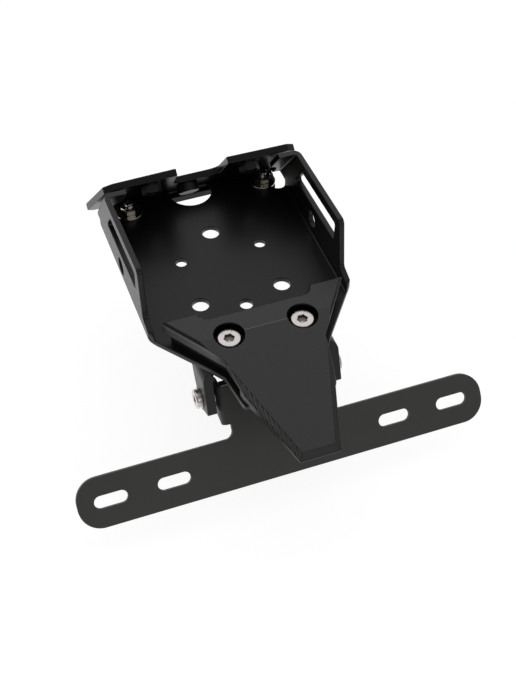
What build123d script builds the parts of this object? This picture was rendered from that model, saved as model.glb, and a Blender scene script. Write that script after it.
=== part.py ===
"""Tail tidy: folded tray, front bracket, milled cover and a tilting plate bracket.

Millimetres, +Z up, +Y towards the front of the motorcycle, +X to the right.
The origin is midway between the tray's two small fixing holes, on top of its floor.
"""
from build123d import *
from math import cos, radians, sin, tan
import os

os.makedirs("parts", exist_ok=True)

# Sheet and plate stock
tray_t = 3.0
bracket_t = 4.0
hinge_t = 5.0
plate_t = 3.0
fold_r = 1.0  # inside radius of the folds in the 3 mm sheets

# Tray: a folded channel
tray_half = 55.4  # outside of the walls
floor_front = 57.4
floor_rear = -50.7  # where the full-width floor ends
floor_corner = 2.7
floor_neck = 1.0  # how far the tongue shows beside the cover
wall_foot = 56.2  # where the leaning front tabs would meet the floor
wall_lean = 38.8  # front edges and front bracket, degrees from upright
wall_front_top = 34.4
wall_rear_top = 37.2
wall_rear = -36.4
drop_foot = (-40.0, 8.0)
low_flange_end = (-49.0, 5.0)
wall_corner_r = 3.0
tab_reach = 12.4  # folded front tab, from the outside of the wall inwards
tab_low = 6.0  # start of the tab above the floor
tab_neck = 7.0  # tab width below its notch
tab_notch_r = 6.0
relief_w = 9.0
relief_x = tray_half - 6.0
relief_y = 43.9

# Openings in the tray
wall_slot_front = 20.0
wall_slot_rear = -31.0
wall_slot_mid = 23.8
wall_slot_h = 11.6
wall_slot_r = 1.5
signal_hole_r = 4.9
signal_hole_z = 8.0
fixing_x = 22.4
fixing_r = 3.1
rear_hole_x = 22.6
rear_hole_y = -33.7
rear_hole_r = 4.5
centre_hole_y = 17.4
centre_hole_r = 4.75
drain_hole_y = -41.2
drain_hole_r = 3.5
wire_hole_y = 54.0
wire_hole_r = 12.0

# Cover: a milled block with a sloping tail
cover_front = -51.3
cover_wing = 49.0  # half width at the front
cover_waist = (26.2, -85.5)
cover_neck = (23.6, -104.0)
cover_end = (10.3, -145.5)
cover_top = 13.7
cover_fold = -70.5
tail_slope = 10.0  # degrees
tail_edge_t = 3.7  # thickness at the very end
tail_bevel = 2.6
cover_edge = 1.2
step_back = 5.4  # the middle of the front edge stands this far back
step_half = 29.7
step_r = 4.5
step_out_r = 2.0
cove_h = 5.0
cove_in = 2.2
waist_r = 8.0
tongue_end = -107.0

# Front bracket: a sharply folded plate
bracket_gap = 1.8  # between its rear face and the tabs of the walls
bracket_shift = 2.0  # the bracket sits right of centre in its slots
notch_half = 13.4
notch_floor = 16.5
notch_r = 5.5
land_in = 40.0
land_out = (tray_half - 5.4, 38.0)
shoulder = (tray_half - 0.7, 34.0)
wing_tip = (tray_half + 5.3, -2.0)
wing_foot = (tray_half - 5.9, -14.3)
bracket_fold_r = 1.5
flange_rear = 55.0
flange_half = tray_half - 6.4  # the wings outside this are flat
front_bolt_x = tray_half - 15.9  # from the bracket's own middle
front_bolt_y = 48.3
ear_r = 7.5

# Fasteners: M5 in front, M6 elsewhere
m5_r = 2.5
m6_r = 3.0
clearance = 0.25  # added to a screw's radius where it passes through
m5_nut_af = 8.0
m5_nut_h = 4.0
m5_head_h = 3.5
m5_washer_r = 7.5
m5_washer_t = 1.0
m5_tail = 2.4
m6_nut_af = 10.0
m6_nut_h = 5.0
m6_tail = 1.2
captive_x = 28.0
captive_h = 29.0
spacer_r = 6.0
spacer_t = 5.0
spacer_h = 9.0
spacer_x = -4.1

# Cover screws
cover_screw_x = 19.5
cover_screw_y = -70.8
cover_head_r = 6.25
cover_head_h = 4.0
cover_hex = 5.0
cover_bore_r = 7.85
head_recess = 2.5

# Hinge bracket under the tray and the pivot
ear_out = 36.6  # outside of its ears
hinge_fold_r = 1.5
web_front = -55.0
web_rear = -76.0
pivot_y = -73.4
pivot_z = -25.3
pivot_lug_r = 7.0
pivot_head_r = 5.25
pivot_head_h = 3.3
pivot_hex = 4.0
pivot_washer_t = 1.5
pivot_washer_r = 6.0
ear_rear_top = -77.6  # Y of the rear edge at the fold
ear_rear_low = (-85.9, -26.6)
ear_front_mid = (-60.4, -12.4)
ear_front_low = (-64.8, -20.6)

# Plate bracket, measured down its own face from the middle of the bar
plate_face_y = -102.9
plate_face_z = -48.3
plate_lean = 37.4  # degrees from upright
bar_half = 111.6
bar_h = 26.8
bar_r = 12.0
stem_half = 26.0
stem_top = 41.0
stem_fillet = 4.0
ear_foot = 20.8
slot_w = 6.8
slot_outer_x = bar_half - 17.5
slot_inner_x = bar_half - 50.8
slot_len = 17.6
flange_r = 8.8

fold_out = fold_r + tray_t
lean_s = sin(radians(wall_lean))
lean_c = cos(radians(wall_lean))
tail_z = cover_top - (cover_fold - cover_end[1]) * tan(radians(tail_slope))


def cover_outline(corner_r=0.0):
    """Plan of the cover with a straight front edge, its waist rounded where a radius is given."""
    with BuildSketch() as plan:
        with BuildLine():
            Polyline(
                (-cover_wing, cover_front),
                (cover_wing, cover_front),
                cover_waist,
                cover_neck,
                cover_end,
                (-cover_end[0], cover_end[1]),
                (-cover_neck[0], cover_neck[1]),
                (-cover_waist[0], cover_waist[1]),
                close=True,
            )
        make_face()
        if corner_r:
            fillet(plan.vertices().sort_by_distance(cover_waist)[0], corner_r)
            fillet(plan.vertices().sort_by_distance((-cover_waist[0], cover_waist[1]))[0], corner_r)
    return plan.sketch


def across(seat):
    """Plane that holds the axis of a seat, its own Y running out along that axis."""
    return Plane(origin=seat.origin, x_dir=seat.x_dir, z_dir=-seat.y_dir)


def axis_of(seat):
    """Axis that stands on a seat."""
    return Axis(seat.origin, seat.z_dir)


def nut_part(seat, width, height, bore):
    """Hexagon nut that stands on a seat, with its corners turned off."""
    with BuildPart() as nut:
        with BuildSketch(seat):
            RegularPolygon(width / 2, 6, major_radius=False)
            Circle(bore, mode=Mode.SUBTRACT)
        extrude(amount=height)
        corner = width / 2 / cos(radians(30))
        turned = (corner - width / 2) * tan(radians(30)) * 1.6
        with BuildSketch(across(seat)):
            with BuildLine():
                Polyline(
                    (0, 0),
                    (width / 2, 0),
                    (corner, turned),
                    (corner, height - turned),
                    (width / 2, height),
                    (0, height),
                    close=True,
                )
            make_face()
        revolve(axis=axis_of(seat), mode=Mode.INTERSECT)
    return nut


def socket_screw(seat, head_r, head_h, hexagon, shank, length):
    """Button head on a seat with a hexagon socket, its shank running back through it."""
    with BuildPart() as screw:
        with BuildSketch(across(seat)):
            with BuildLine():
                rim = Line((0, 0), (head_r, 0))
                side = Line(rim @ 1, (head_r, head_h * 0.3))
                crown = (head_r * 0.45, head_h)
                ThreePointArc(side @ 1, (head_r * 0.83, head_h * 0.76), crown)
                Line(crown, (0, head_h))
                Line((0, head_h), (0, 0))
            make_face()
        revolve(axis=axis_of(seat))
        with BuildSketch(seat):
            Circle(shank)
        extrude(amount=-length)
        with BuildSketch(seat.offset(head_h)):
            RegularPolygon(hexagon / 2, 6, major_radius=False)
        extrude(amount=-head_h * 0.6, mode=Mode.SUBTRACT)
        chamfer(screw.faces().sort_by(axis_of(seat))[0].edges(), shank * 0.2)
    return screw


def ring_part(seat, outer, bore, thickness):
    """Flat washer that stands on a seat."""
    with BuildPart() as ring:
        with BuildSketch(seat):
            Circle(outer)
            Circle(bore, mode=Mode.SUBTRACT)
        extrude(amount=thickness)
    return ring


def save(piece, name):
    """Label a finished piece and write it."""
    piece.part.label = name
    export_step(piece.part, f"parts/{name}.step")


# Tray, folded from one sheet
with BuildPart() as tray:
    wall_max = wall_rear_top + tray_t
    with BuildSketch(Plane.XZ.offset(-floor_front)) as section:
        with Locations((0, -tray_t)):
            Rectangle(2 * tray_half, wall_max + tray_t, align=(Align.CENTER, Align.MIN))
        fillet(section.vertices().group_by(Axis.Y)[0], fold_out)
        with BuildSketch(mode=Mode.PRIVATE) as hollow:
            Rectangle(2 * (tray_half - tray_t), 2 * wall_max, align=(Align.CENTER, Align.MIN))
            fillet(hollow.vertices().group_by(Axis.Y)[0], fold_r)
        add(hollow.sketch, mode=Mode.SUBTRACT)
    extrude(amount=floor_front - tongue_end)

    # the walls fold inwards along their leaning front edges
    front_plane = Plane(origin=(0, wall_foot, 0), x_dir=(1, 0, 0), z_dir=(0, -lean_s, lean_c))
    front_top_y = wall_foot - wall_front_top * tan(radians(wall_lean))
    fold_y = wall_foot - fold_out / lean_c
    with BuildSketch(Plane.YZ) as ahead:
        with BuildLine():
            Polyline(
                (fold_y, 0),
                (fold_y - wall_max * tan(radians(wall_lean)), wall_max),
                (2 * floor_front, wall_max),
                (2 * floor_front, 0),
                close=True,
            )
        make_face()
    extrude(amount=tray_half + 1, both=True, mode=Mode.SUBTRACT)
    with BuildSketch(front_plane.offset(tab_low)) as tabs:
        with BuildSketch(mode=Mode.PRIVATE) as angle:
            with Locations((tray_half, 0)):
                Rectangle(tab_reach, tray_t, align=(Align.MAX, Align.MAX))
                Rectangle(tray_t, fold_out + 1, align=(Align.MAX, Align.MAX))
            fillet(angle.vertices().sort_by_distance((tray_half, 0))[0], fold_out)
            fillet(angle.vertices().sort_by_distance((tray_half - tray_t, -tray_t))[0], fold_r)
        add(angle.sketch)
        mirror(angle.sketch, about=Plane.YZ)
    extrude(amount=wall_max / lean_c)

    # side view of the walls and the floor
    with BuildSketch(Plane.YZ) as side_view:
        with BuildLine():
            Polyline(
                (floor_front, -tray_t),
                (floor_front, 0),
                (wall_foot, 0),
                (front_top_y, wall_front_top),
                (wall_rear, wall_rear_top),
                drop_foot,
                low_flange_end,
                (floor_rear, low_flange_end[1] / 3),
                (floor_rear, 0),
                (tongue_end, 0),
                (tongue_end, -tray_t),
                close=True,
            )
        make_face()
        fillet(side_view.vertices().sort_by_distance((wall_rear, wall_rear_top))[0], wall_corner_r)
        fillet(side_view.vertices().sort_by_distance(drop_foot)[0], wall_corner_r)
        fillet(side_view.vertices().sort_by_distance(low_flange_end)[0], wall_corner_r)
    extrude(amount=tray_half + 1, both=True, mode=Mode.INTERSECT)

    # plan view: full width in front, following the cover at the rear
    with BuildSketch(Plane.XY.offset(-tray_t)) as plan:
        add(cover_outline())
        offset(amount=floor_neck, kind=Kind.INTERSECTION)
        with BuildLine():
            Polyline(
                (0, floor_rear),
                (tray_half - floor_corner, floor_rear),
                (cover_waist[0] + floor_neck, cover_waist[1] + floor_neck),
                (0, cover_waist[1] + floor_neck),
            )
            mirror(about=Plane.YZ)
        make_face()
        with Locations((0, tongue_end)):
            Rectangle(4 * tray_half, 4 * tray_half, align=(Align.CENTER, Align.MAX), mode=Mode.SUBTRACT)
        with BuildSketch(mode=Mode.PRIVATE) as front_plan:
            with Locations((0, floor_rear)):
                Rectangle(2 * tray_half, floor_front - floor_rear, align=(Align.CENTER, Align.MIN))
            chamfer(front_plan.vertices().group_by(Axis.Y)[0], floor_corner)
        add(front_plan.sketch)
    extrude(amount=2 * tray_t + wall_max, mode=Mode.INTERSECT)

    # the tabs are narrower near the floor
    tab_face = Plane(origin=(0, wall_foot, 0), x_dir=(1, 0, 0), z_dir=(0, -lean_c, -lean_s))
    with BuildSketch(tab_face):
        for side in (-1, 1):
            with Locations((side * (tray_half - tab_reach), tab_low + tab_notch_r)):
                Ellipse(tab_reach - tab_neck, 2 * tab_notch_r)
    extrude(amount=tray_t, mode=Mode.SUBTRACT)

    # relief slots where wall, floor and tab would meet
    with BuildSketch(Plane.XY.offset(-tray_t)) as relief:
        for side in (-1, 1):
            with Locations((side * relief_x, relief_y)):
                Circle(relief_w / 2)
            with Locations((side * (relief_x - relief_w / 2), relief_y)):
                Rectangle(
                    relief_w * 1.5,
                    floor_front - relief_y + 1,
                    align=(Align.MIN if side > 0 else Align.MAX, Align.MIN),
                )
    extrude(amount=tray_t + fold_out, mode=Mode.SUBTRACT)

    # long slot and turn signal hole in both walls
    slope = (wall_rear_top - wall_front_top) / (front_top_y - wall_rear)
    lean_run = wall_slot_h / 2 * tan(radians(wall_lean))
    with BuildSketch(Plane.YZ) as wall_holes:
        with BuildLine():
            Polyline(
                (wall_slot_front - lean_run, wall_slot_mid - wall_slot_front * slope + wall_slot_h / 2),
                (wall_slot_front + lean_run, wall_slot_mid - wall_slot_front * slope - wall_slot_h / 2),
                (wall_slot_rear + 1, wall_slot_mid - wall_slot_rear * slope - wall_slot_h / 2),
                (wall_slot_rear, wall_slot_mid - wall_slot_rear * slope + wall_slot_h / 2),
                close=True,
            )
        make_face()
        fillet(wall_holes.vertices(), wall_slot_r)
        with Locations((0, signal_hole_z)):
            Circle(signal_hole_r)
    extrude(amount=tray_half + 1, both=True, mode=Mode.SUBTRACT)

    # holes in the floor
    with Locations((-fixing_x, 0, 0), (fixing_x, 0, 0)):
        Hole(fixing_r)
    with Locations((-rear_hole_x, rear_hole_y, 0), (rear_hole_x, rear_hole_y, 0)):
        Hole(rear_hole_r)
    with Locations((0, centre_hole_y, 0)):
        Hole(centre_hole_r)
    with Locations((0, drain_hole_y, 0)):
        Hole(drain_hole_r)
    with Locations((0, wire_hole_y, 0)):
        Hole(wire_hole_r)
    with Locations((-cover_screw_x, cover_screw_y, 0), (cover_screw_x, cover_screw_y, 0)):
        Hole(m6_r + clearance)
    bolt_places = [(side * front_bolt_x + bracket_shift, front_bolt_y) for side in (-1, 1)]
    with Locations(*[(x, y, 0) for x, y in bolt_places]):
        Hole(m5_r + clearance)
save(tray, "tray")

# Front bracket, folded back under the floor
bracket_foot = wall_foot + bracket_gap / lean_c
bracket_plane = Plane(
    origin=(bracket_shift, bracket_foot, 0), x_dir=(1, 0, 0), z_dir=(0, -lean_c, -lean_s)
)
with BuildPart() as front_bracket:
    flange_top = -tray_t
    flange_low = flange_top - bracket_t
    inner_y = bracket_foot + tray_t * tan(radians(wall_lean))
    reach = land_in + 1
    top_y = bracket_foot - reach * lean_s
    top_z = reach * lean_c
    outer_y = bracket_foot + bracket_t / lean_c - flange_low * tan(radians(wall_lean))
    back_y = front_bolt_y - ear_r
    with BuildSketch(Plane.YZ.offset(bracket_shift)) as fold:
        with BuildLine():
            Polyline(
                (back_y, flange_low),
                (outer_y, flange_low),
                (top_y + bracket_t * lean_c, top_z + bracket_t * lean_s),
                (top_y, top_z),
                (inner_y, flange_top),
                (back_y, flange_top),
                close=True,
            )
        make_face()
        fillet(fold.vertices().sort_by_distance((outer_y, flange_low))[0], bracket_fold_r + bracket_t)
        fillet(fold.vertices().sort_by_distance((inner_y, flange_top))[0], bracket_fold_r)
    extrude(amount=wing_tip[0] + 1, both=True)

    # front view, drawn on the leaning face
    with BuildSketch(bracket_plane) as front_view:
        with BuildLine() as outline:
            Polyline(
                (0, wing_foot[1]),
                wing_foot,
                wing_tip,
                shoulder,
                land_out,
                (notch_half + 1, land_in),
                (notch_half, notch_floor),
                (0, notch_floor),
            )
            mirror(about=Plane.YZ)
        make_face()
        points = front_view.vertices()
        for side in (-1, 1):
            fillet(points.sort_by_distance((side * notch_half, notch_floor))[0], notch_r)
            fillet(points.sort_by_distance((side * (notch_half + 1), land_in))[0], notch_r / 2)
            fillet(points.sort_by_distance((side * land_out[0], land_out[1]))[0], notch_r / 2)
            fillet(points.sort_by_distance((side * wing_tip[0], wing_tip[1]))[0], notch_r / 4)
            points = front_view.vertices()
    extrude(amount=2 * reach, both=True, mode=Mode.INTERSECT)

    # the wings stay flat, with nothing behind them
    with BuildSketch(bracket_plane):
        for side in (-1, 1):
            outward_align = Align.MIN if side > 0 else Align.MAX
            with Locations((side * flange_half, 0)):
                Rectangle(wing_tip[0], 2 * reach, align=(outward_align, Align.CENTER))
    extrude(amount=reach, mode=Mode.SUBTRACT)

    # the flange ends behind the fold, except for two ears under the bolts
    with BuildSketch(Plane.XY.offset(flange_low)) as behind:
        with Locations((bracket_shift, flange_rear)):
            Rectangle(4 * wing_tip[0], 4 * ear_r, align=(Align.CENTER, Align.MAX))
        for x, y in bolt_places:
            with Locations((x, y)):
                Circle(ear_r, mode=Mode.SUBTRACT)
                Rectangle(
                    2 * ear_r, 4 * ear_r, align=(Align.CENTER, Align.MIN), mode=Mode.SUBTRACT
                )
    extrude(amount=bracket_t, mode=Mode.SUBTRACT)
    with BuildSketch(Plane.XY.offset(flange_low)):
        with Locations(*bolt_places):
            Circle(m5_r + clearance)
    extrude(amount=bracket_t, mode=Mode.SUBTRACT)
    with BuildSketch(bracket_plane):
        with Locations((-captive_x, captive_h), (captive_x, captive_h)):
            Circle(m6_r + clearance)
    extrude(amount=-2 * bracket_t, mode=Mode.SUBTRACT)
save(front_bracket, "front_bracket")

# Captive nuts and the round spacer on the rear face of the bracket
for side, name in ((-1, "left"), (1, "right")):
    seat = Plane(
        origin=bracket_plane.from_local_coords((side * captive_x, captive_h, 0)),
        x_dir=bracket_plane.x_dir,
        z_dir=bracket_plane.z_dir,
    )
    captive_nut = nut_part(seat, m6_nut_af, m6_nut_h, m6_r)
    save(captive_nut, f"bracket_nut_{name}")
with BuildPart() as centre_spacer:
    with BuildSketch(bracket_plane):
        with Locations((spacer_x, spacer_h)):
            Circle(spacer_r)
    extrude(amount=spacer_t)
    chamfer(centre_spacer.faces().sort_by(axis_of(bracket_plane))[-1].edges(), 0.6)
save(centre_spacer, "centre_spacer")

# Front bolts with washers and nuts
for name, (x, y) in zip(("left", "right"), bolt_places):
    floor_seat = Plane.XY.move(Location((x, y, 0)))
    front_washer = ring_part(floor_seat, m5_washer_r, m5_r + clearance, m5_washer_t)
    save(front_washer, f"front_washer_{name}")
    front_nut = nut_part(floor_seat.offset(m5_washer_t), m5_nut_af, m5_nut_h, m5_r)
    save(front_nut, f"front_nut_{name}")
    with BuildPart() as front_bolt:
        with BuildSketch(floor_seat.offset(flange_low)):
            RegularPolygon(m5_nut_af / 2, 6, major_radius=False)
        extrude(amount=-m5_head_h)
        with BuildSketch(floor_seat.offset(flange_low)):
            Circle(m5_r)
        extrude(amount=m5_washer_t + m5_nut_h + m5_tail - flange_low)
        chamfer(front_bolt.faces().sort_by(Axis.Z)[-1].edges(), 0.5)
    save(front_bolt, f"front_bolt_{name}")

# Cover, milled from a block
with BuildPart() as cover:
    with BuildSketch(Plane.XY.offset(-tray_t * 2)):
        add(cover_outline(waist_r))
    extrude(amount=cover_top + tray_t * 2)
    with BuildSketch(Plane.YZ) as slope_view:
        with BuildLine():
            Polyline(
                (cover_front, 0),
                (cover_front, cover_top),
                (cover_fold, cover_top),
                (cover_end[1], tail_z),
                (cover_end[1], tail_z - tail_edge_t),
                (tongue_end - clearance, 0),
                close=True,
            )
        make_face()
    extrude(amount=cover_wing + 1, both=True, mode=Mode.INTERSECT)

    # the middle of the front edge stands back, with round inner corners
    with BuildSketch(Plane.XY) as step:
        with Locations((0, cover_front + step_r)):
            Rectangle(2 * step_half, step_back + step_r, align=(Align.CENTER, Align.MAX))
        fillet(step.vertices().group_by(Axis.Y)[0], step_r)
    extrude(amount=cover_top, mode=Mode.SUBTRACT)
    uprights = cover.edges().filter_by(Axis.Z).group_by(Axis.Y)[-1]
    fillet(uprights.filter_by(lambda e: abs(e.center().X) < step_half + 1), step_out_r)

    # the sides are hollowed along the floor
    with BuildSketch(Plane.XY) as cove:
        add(cover_outline(waist_r))
        offset(amount=-cove_in, kind=Kind.INTERSECTION, mode=Mode.SUBTRACT)
        with Locations((0, cover_neck[1] + 2 * cove_in)):
            Rectangle(4 * cover_wing, 4 * cover_wing, align=(Align.CENTER, Align.MAX), mode=Mode.SUBTRACT)
    extrude(amount=cove_h, mode=Mode.SUBTRACT)

    # bevelled tail and broken upper edges
    tail_top = cover.faces().filter_by(lambda f: 0.5 < f.normal_at().Z < 0.999).sort_by(Axis.Y)[0]
    tail_rim = tail_top.edges().filter_by(lambda e: e.center().Y < cover_neck[1])
    chamfer(tail_rim, tail_bevel)
    level = cover.faces().filter_by(Axis.Z).sort_by(Axis.Z)[-1]
    chamfer(level.edges().filter_by(lambda e: abs(e.center().Y - cover_fold) > 0.5), cover_edge)

    screw_depth = head_recess + cover_head_h
    with Locations((-cover_screw_x, cover_screw_y, cover_top), (cover_screw_x, cover_screw_y, cover_top)):
        CounterBoreHole(m6_r + clearance, cover_bore_r, screw_depth)
save(cover, "cover")

# Hinge bracket, folded from thick plate and clamped under the floor by the cover screws
ear_in = ear_out - hinge_t
web_low = -tray_t - hinge_t
ear_low = pivot_z - pivot_lug_r
with BuildPart() as hinge_bracket:
    with BuildSketch(Plane.XZ.offset(-web_front)) as channel:
        with Locations((0, -tray_t)):
            Rectangle(2 * ear_out, -2 * ear_low, align=(Align.CENTER, Align.MAX))
        fillet(channel.vertices().group_by(Axis.Y)[-1], hinge_fold_r + hinge_t)
        with BuildSketch(mode=Mode.PRIVATE) as inside:
            with Locations((0, web_low)):
                Rectangle(2 * ear_in, -4 * ear_low, align=(Align.CENTER, Align.MAX))
            fillet(inside.vertices().group_by(Axis.Y)[-1], hinge_fold_r)
        add(inside.sketch, mode=Mode.SUBTRACT)
    extrude(amount=web_front - ear_rear_low[0])
    with BuildSketch(Plane.YZ) as ear_view:
        with BuildLine():
            Polyline(
                (web_front, -tray_t),
                ear_front_mid,
                ear_front_low,
                (pivot_y, ear_low),
                ear_rear_low,
                (ear_rear_top, -tray_t),
                close=True,
            )
        make_face()
        with Locations((pivot_y, pivot_z)):
            Circle(pivot_lug_r)
        fillet(ear_view.vertices().sort_by_distance(ear_rear_low)[0], hinge_fold_r)
        fillet(ear_view.vertices().sort_by_distance(ear_front_low)[0], hinge_fold_r)
        with Locations((pivot_y, pivot_z)):
            Circle(m6_r + clearance, mode=Mode.SUBTRACT)
    extrude(amount=ear_out + 1, both=True, mode=Mode.INTERSECT)
    with BuildSketch(Plane.XY.offset(web_low)):
        with Locations((0, web_rear)):
            Rectangle(2 * ear_in, 2 * hinge_t, align=(Align.CENTER, Align.MAX))
        with Locations((-cover_screw_x, cover_screw_y), (cover_screw_x, cover_screw_y)):
            Circle(m6_r + clearance)
    extrude(amount=hinge_t, mode=Mode.SUBTRACT)
save(hinge_bracket, "hinge_bracket")

# Cover screws and their nuts
for side, name in ((-1, "left"), (1, "right")):
    screw_place = (side * cover_screw_x, cover_screw_y, 0)
    seat = Plane.XY.move(Location(screw_place)).offset(cover_top - screw_depth)
    grip = cover_top - screw_depth - web_low
    cover_screw = socket_screw(
        seat, cover_head_r, cover_head_h, cover_hex, m6_r, grip + m6_nut_h + m6_tail
    )
    save(cover_screw, f"cover_screw_{name}")
    below = Plane(origin=(screw_place[0], screw_place[1], web_low), x_dir=(1, 0, 0), z_dir=(0, 0, -1))
    cover_nut = nut_part(below, m6_nut_af, m6_nut_h, m6_r)
    save(cover_nut, f"cover_nut_{name}")

# Plate bracket: a cross bar on a stem whose sides fold back to the pivot
flange_out = ear_in - pivot_washer_t
face_plane = Plane(
    origin=(0, plate_face_y, plate_face_z),
    x_dir=(1, 0, 0),
    z_dir=(0, -cos(radians(plate_lean)), sin(radians(plate_lean))),
)
pivot_local = face_plane.to_local_coords(Vector(0, pivot_y, pivot_z))
pivot_up, pivot_deep = pivot_local.Y, -pivot_local.Z
side_plane = Plane(origin=face_plane.origin, x_dir=-face_plane.z_dir, z_dir=(1, 0, 0))
up_plane = Plane(origin=face_plane.origin, x_dir=(1, 0, 0), z_dir=face_plane.y_dir)
with BuildPart() as plate_bracket:
    with BuildSketch(up_plane.offset(ear_foot)) as stem_section:
        depth = pivot_deep + flange_r
        Rectangle(2 * flange_out, depth, align=(Align.CENTER, Align.MIN))
        fillet(stem_section.vertices().group_by(Axis.Y)[0], fold_out)
        with BuildSketch(mode=Mode.PRIVATE) as between:
            with Locations((0, plate_t)):
                Rectangle(2 * (flange_out - plate_t), depth, align=(Align.CENTER, Align.MIN))
            fillet(between.vertices().group_by(Axis.Y)[0], fold_r)
        add(between.sketch, mode=Mode.SUBTRACT)
    extrude(amount=pivot_up + flange_r - ear_foot)
    with BuildSketch(side_plane) as flange_view:
        with BuildLine():
            Polyline(
                (0, ear_foot),
                (fold_out, ear_foot),
                (pivot_deep + flange_r * 0.94, pivot_up - flange_r * 0.34),
                (pivot_deep, pivot_up),
                (pivot_deep, stem_top),
                (0, stem_top),
                close=True,
            )
        make_face()
        with Locations((pivot_deep, pivot_up)):
            Circle(flange_r)
            Circle(m6_r + clearance, mode=Mode.SUBTRACT)
    extrude(amount=flange_out + 1, both=True, mode=Mode.INTERSECT)
    with BuildSketch(face_plane):
        with Locations((0, stem_top)):
            Rectangle(2 * (flange_out - plate_t), 2 * flange_r, align=(Align.CENTER, Align.MIN))
    extrude(amount=-2 * plate_t, mode=Mode.SUBTRACT)
    with BuildSketch(face_plane) as face_view:
        Rectangle(2 * bar_half, bar_h)
        fillet(face_view.vertices(), bar_r)
        with Locations((0, bar_h / 2)):
            Rectangle(2 * stem_half, ear_foot - bar_h / 2 + 1, align=(Align.CENTER, Align.MIN))
        for side in (-1, 1):
            foot_corner = face_view.vertices().sort_by_distance((side * stem_half, bar_h / 2))[0]
            fillet(foot_corner, stem_fillet)
        for side in (-1, 1):
            with Locations((side * slot_outer_x, 0), (side * slot_inner_x, 0)):
                SlotOverall(slot_len, slot_w, mode=Mode.SUBTRACT)
    extrude(amount=-plate_t)
save(plate_bracket, "plate_bracket")

# Pivot screws with a washer in each gap and a nut inside each ear
for side, name in ((-1, "left"), (1, "right")):
    outward = Plane(origin=(side * ear_out, pivot_y, pivot_z), x_dir=(0, 1, 0), z_dir=(side, 0, 0))
    grip = ear_out - flange_out + plate_t
    pivot_screw = socket_screw(
        outward, pivot_head_r, pivot_head_h, pivot_hex, m6_r, grip + m6_nut_h + m6_tail
    )
    save(pivot_screw, f"pivot_screw_{name}")
    pivot_washer = ring_part(
        outward.offset(flange_out - ear_out), pivot_washer_r, m6_r + clearance, pivot_washer_t
    )
    save(pivot_washer, f"pivot_washer_{name}")
    inward = Plane(
        origin=(side * (flange_out - plate_t), pivot_y, pivot_z),
        x_dir=face_plane.y_dir,
        z_dir=(-side, 0, 0),
    )
    pivot_nut = nut_part(inward, m6_nut_af, m6_nut_h, m6_r)
    save(pivot_nut, f"pivot_nut_{name}")
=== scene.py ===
"""Looks of the tail tidy: softened sheet parts, threaded fasteners, finishes, light and camera.

Metres, +Z up, +Y towards the front of the motorcycle, +X to the right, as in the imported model.
"""
import logging
import math
from dataclasses import dataclass, field
from collections.abc import Callable
from enum import Enum, IntEnum

import bmesh
import bpy
from mathutils import Matrix, Vector
from mathutils.bvhtree import BVHTree


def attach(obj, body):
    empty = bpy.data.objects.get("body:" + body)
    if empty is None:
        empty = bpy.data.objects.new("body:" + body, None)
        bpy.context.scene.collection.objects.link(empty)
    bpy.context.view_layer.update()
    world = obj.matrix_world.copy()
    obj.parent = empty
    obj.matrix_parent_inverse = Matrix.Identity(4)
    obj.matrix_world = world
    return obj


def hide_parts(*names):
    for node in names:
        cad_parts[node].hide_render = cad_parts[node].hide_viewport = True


LOG = logging.getLogger("tail_tidy")
MM = 0.001
IMAGE_HEIGHT = 688  # pixels of the photograph's frame
SENSOR = 36.0
KEEP_SHARP = 32.0  # edges sharper than this, in degrees, stay sharp in the shading
ON_CUT = 1e-7  # metres within which a point lies on a cutting plane
NO_LENGTH = 1e-6  # metres under which an edge is dissolved
UP = Vector((0, 0, 1))
DOWN = Vector((0, 0, -1))
RIGHT = Vector((1, 0, 0))
FRONT = Vector((0, 1, 0))
Rgb = tuple[float, float, float]
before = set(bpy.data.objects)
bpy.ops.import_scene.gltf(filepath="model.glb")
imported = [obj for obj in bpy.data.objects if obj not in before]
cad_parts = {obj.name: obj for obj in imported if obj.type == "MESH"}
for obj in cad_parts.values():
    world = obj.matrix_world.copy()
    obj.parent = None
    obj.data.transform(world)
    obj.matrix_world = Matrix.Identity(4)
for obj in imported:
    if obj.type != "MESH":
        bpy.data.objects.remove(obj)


class Grain(Enum):
    """How a finish breaks up in the small."""

    SPECKLED = "speckled"
    MILLED = "milled"


class CoverFace(IntEnum):
    """The parts of the cover's surface, in the order of its finishes."""

    TOP = 0
    BORE = 1
    SIDE = 2
    FOLD = 3
    RIDGE = 4


class ScrewFace(IntEnum):
    """The parts of a screw's surface, in the order of its finishes."""

    BODY = 0
    SOCKET = 1


class Side(Enum):
    """The two sides of the tray."""

    LEFT = -1
    RIGHT = 1

    @property
    def word(self) -> str:
        """The side as it stands in a node's name."""
        return self.name.lower()


@dataclass(frozen=True)
class Finish:
    """One surface finish, with the numbers its shader needs."""

    name: str
    grain: Grain
    colour: Rgb
    tint: Rgb
    roughness: float
    roughness_swing: float
    grain_size: float  # mm
    grain_depth: float  # mm
    metallic: float = 0.0
    specular: float = 0.5


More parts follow.
